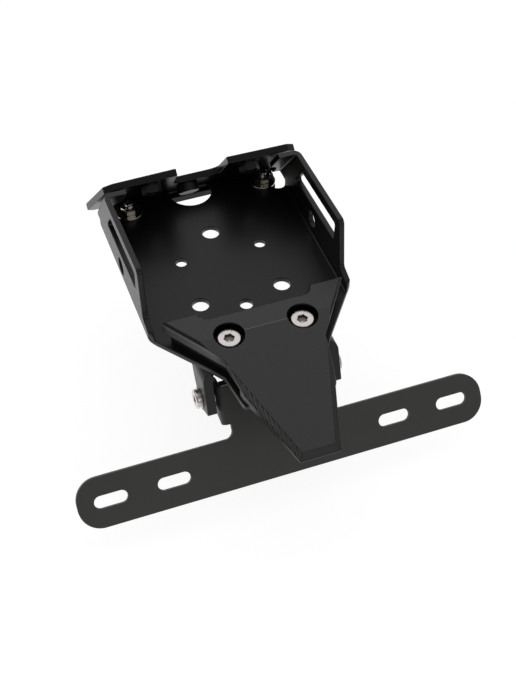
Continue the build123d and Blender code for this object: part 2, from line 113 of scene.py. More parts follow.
TRAY_BLACK = Finish(
    "tray_powder_coat", Grain.SPECKLED, (0.0035, 0.0035, 0.0036), (0.0060, 0.0060, 0.0062),
    roughness=0.36, roughness_swing=0.07, grain_size=0.55, grain_depth=0.008, specular=0.34,
)
BRACKET_BLACK = Finish(
    "bracket_powder_coat", Grain.SPECKLED, (0.0030, 0.0030, 0.0031), (0.0050, 0.0050, 0.0050),
    roughness=0.30, roughness_swing=0.06, grain_size=0.60, grain_depth=0.008, specular=0.34,
)
HINGE_BLACK = Finish(
    "hinge_powder_coat", Grain.SPECKLED, (0.0110, 0.0110, 0.0110), (0.0160, 0.0158, 0.0155),
    roughness=0.38, roughness_swing=0.06, grain_size=0.55, grain_depth=0.010, specular=0.36,
)
PLATE_BLACK = Finish(
    "plate_powder_coat", Grain.SPECKLED, (0.0460, 0.0460, 0.0425), (0.0560, 0.0560, 0.0518),
    roughness=0.48, roughness_swing=0.06, grain_size=0.50, grain_depth=0.018, specular=0.34,
)
COVER_MILLED = Finish(
    "cover_milled_anodised", Grain.MILLED, (0.0065, 0.0065, 0.0065), (0.0190, 0.0190, 0.0188),
    roughness=0.36, roughness_swing=0.07, grain_size=1.25, grain_depth=0.050, specular=0.50,
)
COVER_SMOOTH = Finish(
    "cover_smooth_anodised", Grain.SPECKLED, (0.0080, 0.0080, 0.0080), (0.0105, 0.0105, 0.0104),
    roughness=0.30, roughness_swing=0.05, grain_size=0.60, grain_depth=0.005, specular=0.34,
)
# painted highlight: a much lighter black on the rounded fold between the counterbores, standing
# in for the light line that the fold catches
COVER_FOLD_PAINTED_HIGHLIGHT = Finish(
    "cover_fold_painted_highlight", Grain.SPECKLED, (0.075, 0.075, 0.075), (0.095, 0.095, 0.095),
    roughness=0.30, roughness_swing=0.05, grain_size=0.60, grain_depth=0.005, specular=0.50,
)
# painted light: the ridged bevel gets a lighter copy of the cover's anodised black, standing in
# for the light lines that its ridges catch
COVER_RIDGES_PAINTED_LIGHT = Finish(
    "cover_ridged_bevel_painted_light", Grain.SPECKLED, (0.0200, 0.0200, 0.0198), (0.0250, 0.0250, 0.0247),
    roughness=0.24, roughness_swing=0.04, grain_size=0.60, grain_depth=0.004, specular=0.75,
)
# painted shade: the inside of the counterbores gets a near-black copy of the cover's black, for
# the shade in these recesses
BORE_PAINTED_SHADE = Finish(
    "cover_bore_painted_shade", Grain.SPECKLED, (0.0010, 0.0010, 0.0010), (0.0020, 0.0020, 0.0020),
    roughness=0.24, roughness_swing=0.05, grain_size=0.40, grain_depth=0.004, specular=0.30,
)
SPACER_BLACK = Finish(
    "spacer_moulded_black", Grain.SPECKLED, (0.0040, 0.0040, 0.0040), (0.0070, 0.0070, 0.0070),
    roughness=0.40, roughness_swing=0.08, grain_size=0.45, grain_depth=0.006, specular=0.34,
)
BRIGHT_ZINC = Finish(
    "bright_zinc", Grain.SPECKLED, (0.62, 0.60, 0.57), (0.52, 0.47, 0.38),
    roughness=0.14, roughness_swing=0.07, grain_size=0.35, grain_depth=0.004,
    metallic=1.0,
)
STAINLESS = Finish(
    "stainless_satin", Grain.SPECKLED, (0.74, 0.69, 0.675), (0.68, 0.63, 0.615),
    roughness=0.30, roughness_swing=0.06, grain_size=0.30, grain_depth=0.004,
    metallic=1.0,
)
# painted shade: a darker, duller copy of the stainless steel for the walls and floor of the hex
# socket, where shade falls
SOCKET_PAINTED_SHADE = Finish(
    "socket_painted_shade", Grain.SPECKLED, (0.30, 0.265, 0.245), (0.22, 0.20, 0.185),
    roughness=0.42, roughness_swing=0.06, grain_size=0.30, grain_depth=0.006,
    metallic=1.0,
)
BLACK_ZINC = Finish(
    "black_zinc", Grain.SPECKLED, (0.012, 0.012, 0.013), (0.020, 0.019, 0.019),
    roughness=0.24, roughness_swing=0.06, grain_size=0.35, grain_depth=0.004,
    metallic=0.4,
)


class FinishShop:
    """Makes one node material per finish and keeps it for every piece that shares it."""

    CLOUD_SIZE = 28.0 * MM  # of the slow drift between a finish's two colours
    CLOUD_DETAIL = 3.0
    GRAIN_DETAIL = 2.0
    PATCH = 3.0  # grains across one patch of even gloss
    ROUGH_SHARE = 0.12  # of the fine grain in a milled height
    WAVE_TURN = 20.0  # radians of the wave texture for each unit at scale 1

    def __init__(self) -> None:
        """Start with no material made."""
        self.made: dict[str, bpy.types.Material] = {}

    def material(self, finish: Finish) -> bpy.types.Material:
        """Give the material of a finish.

        Args:
            finish: The finish to look up or make.

        Returns:
            The node material.
        """
        if finish.name not in self.made:
            self.made[finish.name] = self.mix(finish)
        return self.made[finish.name]

    def mix(self, finish: Finish) -> bpy.types.Material:
        """Build the nodes of one finish.

        Args:
            finish: Colours, gloss and grain.

        Returns:
            A new material.
        """
        material = bpy.data.materials.new(finish.name)
        material.use_nodes = True
        tree = material.node_tree
        shader = tree.nodes["Principled BSDF"]
        shader.inputs["Metallic"].default_value = finish.metallic
        shader.inputs["Specular IOR Level"].default_value = finish.specular
        place = tree.nodes.new("ShaderNodeTexCoord")

        if finish.grain is Grain.MILLED:
            cloud = self.paths(tree, place, finish)
        else:
            cloud = self.noise(tree, place, 1.0 / self.CLOUD_SIZE, self.CLOUD_DETAIL)
        colour = tree.nodes.new("ShaderNodeMix")
        colour.data_type = "RGBA"
        colour.inputs["A"].default_value = (*finish.colour, 1.0)
        colour.inputs["B"].default_value = (*finish.tint, 1.0)
        tree.links.new(cloud.outputs["Fac"], colour.inputs["Factor"])
        tree.links.new(colour.outputs["Result"], shader.inputs["Base Color"])

        gloss = tree.nodes.new("ShaderNodeMapRange")
        gloss.inputs["To Min"].default_value = finish.roughness - finish.roughness_swing
        gloss.inputs["To Max"].default_value = finish.roughness + finish.roughness_swing
        patch = finish.grain_size * self.PATCH * MM
        speck = self.noise(tree, place, 1.0 / patch, self.GRAIN_DETAIL)
        tree.links.new(speck.outputs["Fac"], gloss.inputs["Value"])
        tree.links.new(gloss.outputs["Result"], shader.inputs["Roughness"])

        bump = tree.nodes.new("ShaderNodeBump")
        bump.inputs["Distance"].default_value = finish.grain_depth * MM
        bump.inputs["Strength"].default_value = 1.0
        tree.links.new(self.grain_height(tree, place, finish), bump.inputs["Height"])
        tree.links.new(bump.outputs["Normal"], shader.inputs["Normal"])
        return material

    def noise(
        self, tree: bpy.types.NodeTree, place: bpy.types.Node, scale: float, detail: float
    ) -> bpy.types.Node:
        """Add noise on Object coordinates.

        Args:
            tree: The material's node tree.
            place: Its Texture Coordinate node.
            scale: Features per metre.
            detail: Number of finer layers.

        Returns:
            The noise node.
        """
        node = tree.nodes.new("ShaderNodeTexNoise")
        node.inputs["Scale"].default_value = scale
        node.inputs["Detail"].default_value = detail
        tree.links.new(place.outputs["Object"], node.inputs["Vector"])
        return node

    def paths(
        self, tree: bpy.types.NodeTree, place: bpy.types.Node, finish: Finish
    ) -> bpy.types.Node:
        """Add cutter paths that lie side by side along Y, one each grain_size.

        Args:
            tree: The material's node tree.
            place: Its Texture Coordinate node.
            finish: The milled finish.

        Returns:
            The wave node.
        """
        paths = tree.nodes.new("ShaderNodeTexWave")
        paths.wave_type = "BANDS"
        paths.bands_direction = "X"
        paths.wave_profile = "SIN"
        paths.inputs["Scale"].default_value = math.tau / self.WAVE_TURN / (finish.grain_size * MM)
        paths.inputs["Distortion"].default_value = 0.0
        tree.links.new(place.outputs["Object"], paths.inputs["Vector"])
        return paths

    def grain_height(
        self, tree: bpy.types.NodeTree, place: bpy.types.Node, finish: Finish
    ) -> bpy.types.NodeSocket:
        """Make the height that the bump reads.

        Args:
            tree: The material's node tree.
            place: Its Texture Coordinate node.
            finish: The finish whose grain is made.

        Returns:
            The socket that holds the height.
        """
        fine = self.noise(tree, place, 1.0 / (finish.grain_size * MM), self.GRAIN_DETAIL)
        if finish.grain is not Grain.MILLED:
            return fine.outputs["Fac"]
        paths = self.paths(tree, place, finish)
        rough = tree.nodes.new("ShaderNodeMix")
        rough.data_type = "FLOAT"
        rough.inputs["Factor"].default_value = self.ROUGH_SHARE
        tree.links.new(paths.outputs["Fac"], rough.inputs["A"])
        tree.links.new(fine.outputs["Fac"], rough.inputs["B"])
        return rough.outputs["Result"]


SHOP = FinishShop()


def finish_piece(
    mesh: bmesh.types.BMesh,
    name: str,
    finish: Finish | tuple[Finish, ...],
    body: str,
    node: str,
) -> bpy.types.Object:
    """Turn a bmesh into a piece of the object that stands for one CAD node.

    Args:
        mesh: The finished shape in the frame's own coordinates, freed here.
        name: The piece's name.
        finish: Its surface, or several that its faces choose from.
        body: The CAD body that it rides on.
        node: The CAD node that it stands for.

    Returns:
        The new object.
    """
    data = bpy.data.meshes.new(name)
    mesh.to_mesh(data)
    mesh.free()
    inherited = data.attributes.get("custom_normal")
    if inherited is not None:
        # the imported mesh's own normals no longer fit the changed shape
        data.attributes.remove(inherited)
    data.set_sharp_from_angle(angle=math.radians(KEEP_SHARP))
    for one in finish if isinstance(finish, tuple) else (finish,):
        data.materials.append(SHOP.material(one))
    piece = bpy.data.objects.new(name, data)
    bpy.context.scene.collection.objects.link(piece)
    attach(piece, body)
    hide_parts(node)
    return piece


def count_faces(piece: bpy.types.Object) -> int:
    """Number of faces of a piece."""
    return len(piece.data.polygons)


@dataclass
class SheetPart:
    """A CAD node whose edges get a small round. Sizes in mm, angles in degrees."""

    node: str
    finish: Finish | tuple[Finish, ...]
    slot: str
    body: str = "frame"
    edge_round: float = 0.4
    round_steps: int = 3
    sharpest_kept: float = 41.0  # flatter edges than this belong to a curved face
    short_edge: float = 0.03
    flat_turn: float = 0.4  # between faces that are merged to one
    stray_share: float = 0.36  # of the round, beyond which a point is put back
    area_weight: int = 80

    def build(self) -> bpy.types.Object:
        """Copy the node's mesh, merge it and round its edges.

        Returns:
            The softened piece.
        """
        mesh = bmesh.new()
        mesh.from_mesh(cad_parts[self.node].data)
        bmesh.ops.remove_doubles(mesh, verts=mesh.verts, dist=self.short_edge * MM)
        bmesh.ops.dissolve_limit(
            mesh, angle_limit=math.radians(self.flat_turn), use_dissolve_boundaries=False,
            verts=mesh.verts, edges=mesh.edges,
        )
        self.carve(mesh)
        solid = BVHTree.FromBMesh(mesh)
        bmesh.ops.bevel(
            mesh, geom=self.edges_to_round(mesh), offset=self.edge_round * MM,
            offset_type="OFFSET", segments=self.round_steps, profile=0.5, affect="EDGES",
            clamp_overlap=False, material=-1,
        )
        self.pull_in(mesh, solid)
        self.engrave(mesh)
        piece = finish_piece(
            mesh, f"{self.node}_dressed", self.finish, self.body, self.node
        )
        weights = piece.modifiers.new("even_faces", "WEIGHTED_NORMAL")
        weights.mode = "FACE_AREA"
        weights.weight = self.area_weight
        weights.keep_sharp = True
        return piece

    def carve(self, mesh: bmesh.types.BMesh) -> None:
        """Shape that the CAD leaves to this script; a plain sheet part has none."""

    def engrave(self, mesh: bmesh.types.BMesh) -> None:
        """Shape that comes after the rounding; a plain sheet part is only shaded smooth."""
        for face in mesh.faces:
            face.smooth = True

    def edges_to_round(self, mesh: bmesh.types.BMesh) -> list[bmesh.types.BMEdge]:
        """Edges that get the small round.

        Args:
            mesh: The mesh before its edges are rounded.

        Returns:
            The edges sharper than the limit.
        """
        limit = math.radians(self.sharpest_kept)
        return [e for e in mesh.edges if len(e.link_faces) == 2 and e.calc_face_angle() > limit]

    def pull_in(self, mesh: bmesh.types.BMesh, solid: BVHTree) -> None:
        """Put points that the rounding threw off the solid back on it.

        Args:
            mesh: The rounded mesh.
            solid: The shape before its edges were rounded.
        """
        reach = self.edge_round * MM * self.stray_share
        for point in mesh.verts:
            nearest, _, _, distance = solid.find_nearest(point.co)
            if distance > reach:
                point.co = nearest
        bmesh.ops.dissolve_degenerate(mesh, dist=NO_LENGTH, edges=mesh.edges)


def cut_across(
    mesh: bmesh.types.BMesh, faces: list[bmesh.types.BMFace], point: Vector, normal: Vector
) -> None:
    """Cut some faces along a plane.

    Args:
        mesh: The mesh.
        faces: The faces to cut.
        point: A point of the plane, in metres.
        normal: The plane's normal.
    """
    parts: set = set(faces)
    for face in faces:
        parts.update(face.edges)
        parts.update(face.verts)
    bmesh.ops.bisect_plane(mesh, geom=list(parts), dist=ON_CUT, plane_co=point, plane_no=normal)


@dataclass
class MilledCover(SheetPart):
    """The cover, with hollow sides and a left bevel that the cutter left in steps.

    Sizes in mm, and places in plan as X and Y. The right half is stated for both.
    """

    wing: tuple[float, float] = (49.0, -51.3)
    waist: tuple[float, float] = (26.2, -85.5)
    neck: tuple[float, float] = (23.6, -104.0)
    end: tuple[float, float] = (10.3, -145.5)
    fold: float = -70.5
    fold_reach: float = 0.4
    fold_turn: tuple[float, float] = (2.0, 20.0)  # degrees between level part and tail
    fold_up: tuple[float, float] = (0.985, 0.9999)  # Z of the normals in the rounded fold
    lip: float = 1.9  # below the top
    top: float = 13.7
    top_up: float = 0.95  # least Z of a normal of the level part and the tail
    side_up: float = 0.9  # most Z of a normal that still takes the side's finish
    side_x: float = 20.0  # the sides lie further out than this
    side_lean: float = 0.05  # most Z of an upright side's normal
    side_match: float = 0.9  # cosine within which a face looks out of the side
    cove_top: float = 5.0
    cove_depth: float = 1.0
    cove_cuts: int = 6
    cove_rear: float = 0.5  # how far behind the waist the hollow may reach
    lip_slack: float = 0.1
    waist_blend: float = 8.0  # length over which the side turns at the waist
    path: float = 1.3
    path_depth: float = 0.45
    path_lead: float = 2.0  # the first cut lies this far inside the end
    path_past: float = 8.0  # the cuts span from end to neck and this much more
    path_slack: float = 0.02
    ridge_span: tuple[float, float] = (0.08, 0.92)  # shares of the bevel's width
    bevel_left: tuple[float, float] = (-0.95, -0.35)  # X of a normal that may be the bevel's
    bevel_up: float = 0.4  # least Z of such a normal
    bevel_match: float = 0.996  # cosine within which a face lies in the bevel
    screw_x: float = 19.5
    screw_y: float = -70.8
    bore_reach: float = 9.1

    def carve(self, mesh: bmesh.types.BMesh) -> None:
        """Hollow both sides."""
        self.hollow_sides(mesh)

    def engrave(self, mesh: bmesh.types.BMesh) -> None:
        """Step the left bevel and give each face its part of the finish."""
        mesh.normal_update()
        ridges = self.step_bevel(mesh)
        mesh.normal_update()
        for face in mesh.faces:
            face.smooth = face not in ridges
            middle = face.calc_center_median() / MM
            # the fold's faces take the painted highlight
            if self.in_fold(middle, face.normal):
                face.material_index = CoverFace.FOLD
            # the counterbores' faces take the painted shade
            elif all(self.in_bore(v.co / MM) for v in face.verts):
                face.material_index = CoverFace.BORE
            # the ridged bevel's faces take the painted light
            elif face in ridges:
                face.material_index = CoverFace.RIDGE
            elif abs(face.normal.z) < self.side_up:
                face.material_index = CoverFace.SIDE

    def in_fold(self, middle: Vector, normal: Vector) -> bool:
        """Whether a face lies in the rounded fold between the counterbores."""
        least, most = self.fold_up
        near = abs(middle.y - self.fold) < self.fold_reach
        between = abs(middle.x) < self.screw_x - self.bore_reach
        return near and between and least < normal.z < most

    def in_bore(self, place: Vector) -> bool:
        """Whether a point lies in or on the edge of a counterbore."""
        across = math.hypot(abs(place.x) - self.screw_x, place.y - self.screw_y)
        return across < self.bore_reach

    def edges_to_round(self, mesh: bmesh.types.BMesh) -> list[bmesh.types.BMEdge]:
        """Sharp edges, and the fold between the level part and the tail."""
        least, most = (math.radians(turn) for turn in self.fold_turn)
        fold = [
            e
            for e in mesh.edges
            if len(e.link_faces) == 2
            and all(f.normal.z > self.top_up for f in e.link_faces)
            and least < e.calc_face_angle() < most
        ]
        return super().edges_to_round(mesh) + fold

    def side_normals(self) -> tuple[Vector, Vector]:
        """Outward normals of the right side before and behind the waist."""
        wing, waist, neck = (Vector((x, y, 0.0)) for x, y in (self.wing, self.waist, self.neck))
        first, second = waist - wing, neck - waist
        return (
            Vector((-first.y, first.x, 0.0)).normalized(),
            Vector((-second.y, second.x, 0.0)).normalized(),
        )

    def outward(self, place: Vector) -> Vector:
        """The way out of the side nearest to a point, in plan."""
        before, behind = self.side_normals()
        behind_start = self.waist[1] + self.waist_blend / 2 - place.y
        blend = min(1.0, max(0.0, behind_start / self.waist_blend))
        away = before.lerp(behind, blend).normalized()
        away.x *= 1.0 if place.x > 0 else -1.0
        return away

    def is_side(self, face: bmesh.types.BMFace) -> bool:
        """Whether a face is part of the upright outer side."""
        middle = face.calc_center_median() / MM
        upright = abs(face.normal.z) < self.side_lean
        facing = face.normal.dot(self.outward(middle)) > self.side_match
        return upright and facing and abs(middle.x) > self.side_x

    def upper_side(self, mesh: bmesh.types.BMesh) -> list[bmesh.types.BMFace]:
        """Faces of both sides above the foot."""
        foot = self.cove_top * MM
        return [f for f in mesh.faces if self.is_side(f) and f.calc_center_median().z > foot]

    def hollow_sides(self, mesh: bmesh.types.BMesh) -> None:
        """Turn each side into a channel between the upper lip and the foot.

        Args:
            mesh: The cover's mesh.
        """
        high = self.top - self.lip
        for step in range(self.cove_cuts):
            level = self.cove_top + (high - self.cove_top) * (step + 1) / self.cove_cuts
            cut_across(mesh, self.upper_side(mesh), UP * (level * MM), UP)
        rear = self.waist[1] - self.cove_rear
        for point in {v for f in self.upper_side(mesh) for v in f.verts}:
            place = point.co / MM
            if place.y > rear and place.z < high - self.lip_slack:
                share = (high - place.z) / (high - self.cove_top)
                depth = self.cove_depth * math.sin(share * math.pi / 2)
                point.co -= self.outward(place) * depth * MM

    def step_bevel(self, mesh: bmesh.types.BMesh) -> set[bmesh.types.BMFace]:
        """Cut the left bevel of the tail into ridges parallel to Y.

        Args:
            mesh: The cover's mesh.

        Returns:
            The faces of the ridges.
        """

        def leans_left(face: bmesh.types.BMFace) -> bool:
            """Whether a face may be the left bevel."""
            on_tail = face.calc_center_median().y / MM < self.fold
            leans = self.bevel_left[0] < face.normal.x < self.bevel_left[1]
            return on_tail and leans and face.normal.z > self.bevel_up

        widest = max(filter(leans_left, mesh.faces), key=lambda f: f.calc_area())
        normal = widest.normal.copy()

        def is_bevel(face: bmesh.types.BMFace) -> bool:
            """Whether a face lies in the left bevel."""
            return leans_left(face) and face.normal.dot(normal) > self.bevel_match

        rim = max(widest.edges, key=lambda e: e.calc_length())
        across = normal.cross(rim.verts[0].co - rim.verts[1].co).normalized()
        spread = [v.co.dot(across) for v in widest.verts]
        low, high = min(spread), max(spread)
        for share in self.ridge_span:
            faces = [f for f in mesh.faces if is_bevel(f)]
            cut_across(mesh, faces, across * (low + (high - low) * share), across)
        first = self.end[0] - self.path_lead
        cuts = int((self.neck[0] - self.end[0] + self.path_past) / self.path * 2)
        for step in range(cuts):
            faces = [f for f in mesh.faces if is_bevel(f)]
            x = -first - step * self.path / 2
            cut_across(mesh, faces, RIGHT * (x * MM), RIGHT)
        inner = [
            v
            for v in {v for f in mesh.faces if is_bevel(f) for v in f.verts}
            if all(is_bevel(g) for g in v.link_faces)
        ]
        LOG.info("left bevel: %d ridge points", len(inner))
        ridges = {f for f in mesh.faces if is_bevel(f)}
        for point in inner:
            step = (-point.co.x / MM - first) / (self.path / 2)
            if abs(step - round(step)) < self.path_slack and round(step) % 2:
                point.co -= normal * self.path_depth * MM
        return ridges


Shape = float | Callable[[float], float]


def hexagon(across_flats: float) -> Callable[[float], float]:
    """Radius of a hexagon at an angle, one corner on +X.

    Args:
        across_flats: Width across the flats, in mm.

    Returns:
        A function from the angle in radians to the radius in mm.
    """
    sixth = math.pi / 3

    def radius(angle: float) -> float:
        """Radius at one angle."""
        return across_flats / 2 / math.cos(angle % sixth - sixth / 2)

    return radius


class Rings:
    """A closed shape grown ring by ring about its own +Z axis, in mm."""

    def __init__(self, first: Shape, height: Shape, segments: int = 48) -> None:
        """Start with one ring.

        Args:
            first: Radius, or radius by angle.
            height: Height, or height by angle.
            segments: Points around.
        """
        self.mesh = bmesh.new()
        self.paint = ScrewFace.BODY
        made = bmesh.ops.create_circle(self.mesh, cap_ends=False, segments=segments, radius=1.0)
        self.start = self.rim = list({e for v in made["verts"] for e in v.link_edges})
        self.place(made["verts"], first, height)

    def place(self, points: list[bmesh.types.BMVert], radius: Shape, height: Shape) -> None:
        """Move points to a radius and a height, each at its own angle.

        Args:
            points: The ring's points.
            radius: Radius, or radius by angle.
            height: Height, or height by angle.
        """
        for point in points:
            angle = round(math.atan2(point.co.y, point.co.x) % math.tau, 6)
            reach = radius(angle) if callable(radius) else radius
            level = height(angle) if callable(height) else height
            point.co = Vector((reach * math.cos(angle), reach * math.sin(angle), level))

    def to(self, radius: Shape, height: Shape) -> "Rings":
        """Grow the open end to a new ring.

        Args:
            radius: Radius, or radius by angle.
            height: Height, or height by angle.

        Returns:
            The shape itself.
        """
        grown = bmesh.ops.extrude_edge_only(self.mesh, edges=self.rim)["geom"]
        points = [g for g in grown if isinstance(g, bmesh.types.BMVert)]
        known = set(points)
        for face in (g for g in grown if isinstance(g, bmesh.types.BMFace)):
            face.material_index = self.paint
        self.rim = [
            g for g in grown if isinstance(g, bmesh.types.BMEdge) and known.issuperset(g.verts)
        ]
        self.place(points, radius, height)
        return self

    def close_end(self) -> "Rings":
        """Cap the open end."""
        bmesh.ops.contextual_create(self.mesh, geom=self.rim)
        return self

    def close_start(self) -> "Rings":
        """Cap the first ring."""
        bmesh.ops.contextual_create(self.mesh, geom=self.start)
        return self

    def join_ends(self) -> "Rings":
        """Join the last ring to the first, for a shape with a hole through it."""
        bmesh.ops.bridge_loops(self.mesh, edges=self.rim + self.start)
        return self

    def placed(self, seat: Matrix) -> bmesh.types.BMesh:
        """Put the shape on a seat, in metres, with its faces outwards.

        Args:
            seat: Seat in mm, its +Z the way the shape grows.

        Returns:
            The bmesh.
        """
        bmesh.ops.transform(self.mesh, matrix=Matrix.Scale(MM, 4) @ seat, verts=self.mesh.verts)
        bmesh.ops.recalc_face_normals(self.mesh, faces=self.mesh.faces)
        for face in self.mesh.faces:
            face.smooth = True
        return self.mesh


def seat_at(origin: Vector, outward: Vector, across: Vector) -> Matrix:
    """Seat of a fastener.

    Args:
        origin: Its middle, in mm.
        outward: The way that the piece grows.
        across: Where a corner of its hexagon points.

    Returns:
        The matrix from the piece's own frame to the object's, in mm.
    """
    z_axis = outward.normalized()
    x_axis = across.normalized()
    y_axis = z_axis.cross(x_axis)
    turned = Matrix((x_axis, y_axis, z_axis)).transposed().to_4x4()
    return Matrix.Translation(origin) @ turned


@dataclass
class Nut:
    """Hexagon nut with turned corners and a thread in its bore. Sizes in mm."""

    across_flats: float
    height: float
    bore: float  # radius
    pitch: float
    crown_share: float = 0.965  # of half the width across the flats
    lead_share: float = 0.14  # of the bore
    foot_share: float = 0.9  # of the lead, at the lower end
    thread_share: float = 0.45  # of the pitch
    chamfer: float = 30.0  # degrees

    def mesh(self, seat: Matrix) -> bmesh.types.BMesh:
        """Build the nut on its seat.

        Args:
            seat: Seat in mm.

        Returns:
            The bmesh, in metres.
        """
        side = hexagon(self.across_flats)
        crown = self.across_flats / 2 * self.crown_share
        lead = self.lead_share * self.bore
        drop = math.tan(math.radians(self.chamfer))

        def low(angle: float) -> float:
            """Height where the lower chamfer meets the side."""
            return (side(angle) - crown) * drop

        def high(angle: float) -> float:
            """Height where the upper chamfer meets the side."""
            return self.height - low(angle)

        nut = Rings(crown, 0.0)
        nut.to(side, low).to(side, high).to(crown, self.height)
        nut.to(self.bore + lead, self.height).to(self.bore, self.height - lead)
        turns = int((self.height - 2 * lead) / self.pitch)
        level = self.height - lead
        for _ in range(turns):
            nut.to(self.bore + self.pitch * self.thread_share, level - self.pitch / 2)
            nut.to(self.bore, level - self.pitch)
            level -= self.pitch
        nut.to(self.bore, lead * self.foot_share).to(self.bore + lead, 0.0)
        nut.join_ends()
        return nut.placed(seat)


@dataclass
class Washer:
    """Flat washer with broken edges. Sizes in mm."""

    outer: float  # radius
    bore: float  # radius
    thickness: float
    edge: float = 0.18
    segments: int = 64

    def mesh(self, seat: Matrix) -> bmesh.types.BMesh:
        """Build the washer on its seat.

        Args:
            seat: Seat in mm.

        Returns:
            The bmesh, in metres.
        """
        ring = Rings(self.bore + self.edge, 0.0, self.segments)
        ring.to(self.outer - self.edge, 0.0).to(self.outer, self.edge)
        ring.to(self.outer, self.thickness - self.edge)
        ring.to(self.outer - self.edge, self.thickness)
        ring.to(self.bore + self.edge, self.thickness).to(self.bore, self.thickness - self.edge)
        ring.to(self.bore, self.edge)
        ring.join_ends()
        return ring.placed(seat)


@dataclass
class Shank:
    """The threaded part of a screw, from its head's seat to a chamfered end. Sizes in mm."""

    radius: float
    length: float
    pitch: float
    depth_share: float = 0.5  # of the pitch
    crest_gap: float = 0.03  # between the thread and its nominal radius
    plain_turns: float = 1.5  # without thread, at either end

    def grow(self, screw: Rings) -> None:
        """Grow the thread from a screw's open end at height 0 downwards.

        Args:
            screw: The head, open towards the shank.
        """
        depth = self.pitch * self.depth_share
        crest = self.radius - self.crest_gap
        plain = self.pitch * self.plain_turns
        screw.to(crest, 0.0).to(crest, -plain)
        level = -plain
        while level > -(self.length - plain):
            screw.to(crest - depth, level - self.pitch / 2).to(crest, level - self.pitch)
            level -= self.pitch
        screw.to(crest, -self.length + depth).to(crest - depth, -self.length)
        screw.close_end()


@dataclass
class ButtonScrew:
    """Button head screw with a hexagon socket. Sizes in mm."""

    head_radius: float
    head_height: float
    socket: float  # across its flats
    shank: Shank
    flat_share: float = 0.88  # of the head's radius, before its rim rounds over
    dome_share: float = 0.45  # of the head's height, over which the rim rounds
    skirt_share: float = 0.55  # the rest of the height
    dome_cuts: int = 5
    mouth_gap: float = 0.12
    mouth_depth: float = 0.22
    floor_share: float = 0.42  # height of the socket's floor
    floor_width: float = 0.96  # share of the socket
    floor_edge: float = 0.1
    pit_width: float = 0.25  # share of the socket
    pit_depth: float = 0.45
    foot_edge: float = 0.2

    def mesh(self, seat: Matrix) -> bmesh.types.BMesh:
        """Build the screw on its seat.

        Args:
            seat: Seat under the head, in mm.

        Returns:
            The bmesh, in metres.
        """
        radius, height = self.head_radius, self.head_height
        mouth = self.socket / 2 / math.cos(math.radians(30)) + self.mouth_gap
        floor = height * self.floor_share
        cup = hexagon(self.socket)
        screw = Rings(lambda angle: self.pit_width * cup(angle), floor - self.pit_depth)
        screw.close_start()
        # the socket's walls and floor take the painted shade finish
        screw.paint = ScrewFace.SOCKET
        screw.to(lambda angle: self.floor_width * cup(angle), floor)
        screw.to(cup, floor + self.floor_edge).to(cup, height - self.mouth_depth)
        screw.paint = ScrewFace.BODY
        screw.to(mouth, height)
        top = radius * self.flat_share
        screw.to(top, height)
        for cut in range(1, self.dome_cuts + 1):
            turn = cut / self.dome_cuts * math.pi / 2
            screw.to(
                top + (radius - top) * math.sin(turn),
                height * self.skirt_share + height * self.dome_share * math.cos(turn),
            )
        screw.to(radius, self.foot_edge).to(radius - self.foot_edge, 0.0)
        self.shank.grow(screw)
        return screw.placed(seat)


@dataclass
class HexBolt:
    """Hexagon head bolt with a shallow dish in its head. Sizes in mm."""

    across_flats: float
    head_height: float
    shank: Shank
    crown_share: float = 0.95  # of half the width across the flats
    dish_share: float = 0.8  # of the crown
    rim_share: float = 0.84  # of the crown
    dish_depth: float = 0.15
    chamfer_slope: float = 0.58

    def mesh(self, seat: Matrix) -> bmesh.types.BMesh:
        """Build the bolt on its seat.

        Args:
            seat: Seat against which the head is pulled, its +Z towards the head's top.

        Returns:
            The bmesh, in metres.
        """
        side = hexagon(self.across_flats)
        top = self.head_height
        crown = self.across_flats / 2 * self.crown_share
        bolt = Rings(crown * self.dish_share, top - self.dish_depth)
        bolt.close_start()
        bolt.to(crown * self.rim_share, top).to(crown, top)
        bolt.to(side, lambda angle: top - (side(angle) - crown) * self.chamfer_slope)
        bolt.to(side, 0.0)
        self.shank.grow(bolt)
        return bolt.placed(seat)


